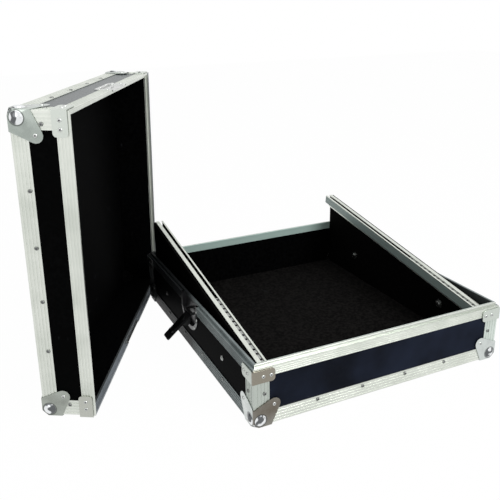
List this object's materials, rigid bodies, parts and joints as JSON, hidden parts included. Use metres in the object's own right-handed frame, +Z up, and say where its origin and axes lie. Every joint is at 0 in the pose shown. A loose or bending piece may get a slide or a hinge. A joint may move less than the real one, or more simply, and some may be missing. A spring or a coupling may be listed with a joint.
{
  "type": "mixer flight case",
  "caption": "Black laminate flight case tray with sloping 19 inch rack rails, aluminium edges, ball corners and butterfly latches, its lift-off lid standing open beside it.",
  "frame": {"origin": "middle of the underside of the tray's bottom panel, 7.0 mm above the floor and 1.5 mm above the faces of the edge extrusions", "axes": "+X to the right along the tray's front, +Y to the tray's back, +Z up; the front is the low side of the sloping rails, and the lid stands beyond the left wall"},
  "size_m": [0.8987, 0.7361, 0.5404],
  "materials": {
    "panel_laminate": "satin black laminate on plywood",
    "board_laminate": "matt black laminate on plywood",
    "extrusion_aluminium": "ribbed, satin anodised",
    "rail_aluminium": "satin anodised",
    "corner_chrome": "polished",
    "latch_zinc": "zinc plated",
    "latch_black_steel": "black"
  },
  "bodies": {
    "base": {"base_bottom_panel": "panel_laminate", "base_front_panel": "panel_laminate", "base_right_panel": "panel_laminate", "base_rear_panel": "panel_laminate", "base_left_panel": "panel_laminate", "base_bottom_edge_front": "extrusion_aluminium", "base_bottom_edge_right": "extrusion_aluminium", "base_bottom_edge_rear": "extrusion_aluminium", "base_bottom_edge_left": "extrusion_aluminium", "base_corner_edge_front_left": "extrusion_aluminium", "base_corner_edge_front_right": "extrusion_aluminium", "base_corner_edge_rear_right": "extrusion_aluminium", "base_corner_edge_rear_left": "extrusion_aluminium", "base_rim_front": "extrusion_aluminium", "base_rim_right": "extrusion_aluminium", "base_rim_rear": "extrusion_aluminium", "base_rim_left": "extrusion_aluminium", "base_ball_corner_front_left": "corner_chrome", "base_ball_corner_front_right": "corner_chrome", "base_ball_corner_rear_right": "corner_chrome", "base_ball_corner_rear_left": "corner_chrome", "rack_board_left": "board_laminate", "rack_board_right": "board_laminate", "rack_rail_left": "rail_aluminium", "rack_rail_right": "rail_aluminium", "left_latch_dish": "latch_zinc", "right_latch_dish": "latch_zinc"},
    "lid": {"lid_top_panel": "panel_laminate", "lid_front_panel": "panel_laminate", "lid_right_panel": "panel_laminate", "lid_rear_panel": "panel_laminate", "lid_left_panel": "panel_laminate", "lid_top_edge_front": "extrusion_aluminium", "lid_top_edge_right": "extrusion_aluminium", "lid_top_edge_rear": "extrusion_aluminium", "lid_top_edge_left": "extrusion_aluminium", "lid_corner_edge_front_left": "extrusion_aluminium", "lid_corner_edge_front_right": "extrusion_aluminium", "lid_corner_edge_rear_right": "extrusion_aluminium", "lid_corner_edge_rear_left": "extrusion_aluminium", "lid_rim_front": "extrusion_aluminium", "lid_rim_right": "extrusion_aluminium", "lid_rim_rear": "extrusion_aluminium", "lid_rim_left": "extrusion_aluminium", "lid_ball_corner_front_left": "corner_chrome", "lid_ball_corner_front_right": "corner_chrome", "lid_ball_corner_rear_right": "corner_chrome", "lid_ball_corner_rear_left": "corner_chrome", "lid_catch_left": "latch_zinc", "lid_catch_right": "latch_zinc"},
    "left_arm": {"left_latch_arm": "latch_black_steel"},
    "left_hook": {"left_latch_hook": "latch_zinc"},
    "left_key": {"left_latch_key": "latch_zinc"},
    "left_wing_a": {"left_latch_wing_a": "latch_zinc"},
    "left_wing_b": {"left_latch_wing_b": "latch_zinc"},
    "right_arm": {"right_latch_arm": "latch_black_steel"},
    "right_hook": {"right_latch_hook": "latch_zinc"},
    "right_key": {"right_latch_key": "latch_zinc"},
    "right_wing_a": {"right_latch_wing_a": "latch_zinc"},
    "right_wing_b": {"right_latch_wing_b": "latch_zinc"}
  },
  "joints": [
    {"name": "lid_lift", "type": "slide", "parent": "base", "child": "lid", "axis": [0, 0, 1], "range_m": [0, 0.3]},
    {"name": "left_arm_swing", "type": "hinge", "parent": "base", "child": "left_arm", "pos_m": [-0.2645, 0.0105, 0.0825], "axis": [0, 1, 0], "range_deg": [0, 130.5]},
    {"name": "left_key_turn", "type": "hinge", "parent": "left_arm", "child": "left_key", "pos_m": [-0.27971, 0.0105, 0.06951], "axis": [0.6494, 0, -0.7604], "range_deg": [0, 180]},
    {"name": "left_hook_draw", "type": "slide", "parent": "left_arm", "child": "left_hook", "axis": [0.7604, 0, 0.6494], "range_m": [0, 0.004]},
    {"name": "left_wing_a_fold", "type": "hinge", "parent": "left_key", "child": "left_wing_a", "pos_m": [-0.27562, 0.0123, 0.06472], "axis": [0.7604, 0, 0.6494], "range_deg": [0, 90]},
    {"name": "left_wing_b_fold", "type": "hinge", "parent": "left_key", "child": "left_wing_b", "pos_m": [-0.27562, 0.0087, 0.06472], "axis": [-0.7604, 0, -0.6494], "range_deg": [0, 90]},
    {"name": "right_arm_swing", "type": "hinge", "parent": "base", "child": "right_arm", "pos_m": [0.2645, 0.0105, 0.0825], "axis": [0, -1, 0], "range_deg": [0, 130.5]},
    {"name": "right_key_turn", "type": "hinge", "parent": "right_arm", "child": "right_key", "pos_m": [0.27971, 0.0105, 0.06951], "axis": [-0.6494, 0, -0.7604], "range_deg": [0, 180]},
    {"name": "right_hook_draw", "type": "slide", "parent": "right_arm", "child": "right_hook", "axis": [-0.7604, 0, 0.6494], "range_m": [0, 0.004]},
    {"name": "right_wing_a_fold", "type": "hinge", "parent": "right_key", "child": "right_wing_a", "pos_m": [0.27562, 0.0087, 0.06472], "axis": [-0.7604, 0, 0.6494], "range_deg": [0, 90]},
    {"name": "right_wing_b_fold", "type": "hinge", "parent": "right_key", "child": "right_wing_b", "pos_m": [0.27562, 0.0123, 0.06472], "axis": [0.7604, 0, -0.6494], "range_deg": [0, 90]}
  ],
  "couplings": [
    {"joint": "left_key_turn", "follows": "left_hook_draw", "rad_per_m": 785.4},
    {"joint": "right_key_turn", "follows": "right_hook_draw", "rad_per_m": 785.4}
  ]
}
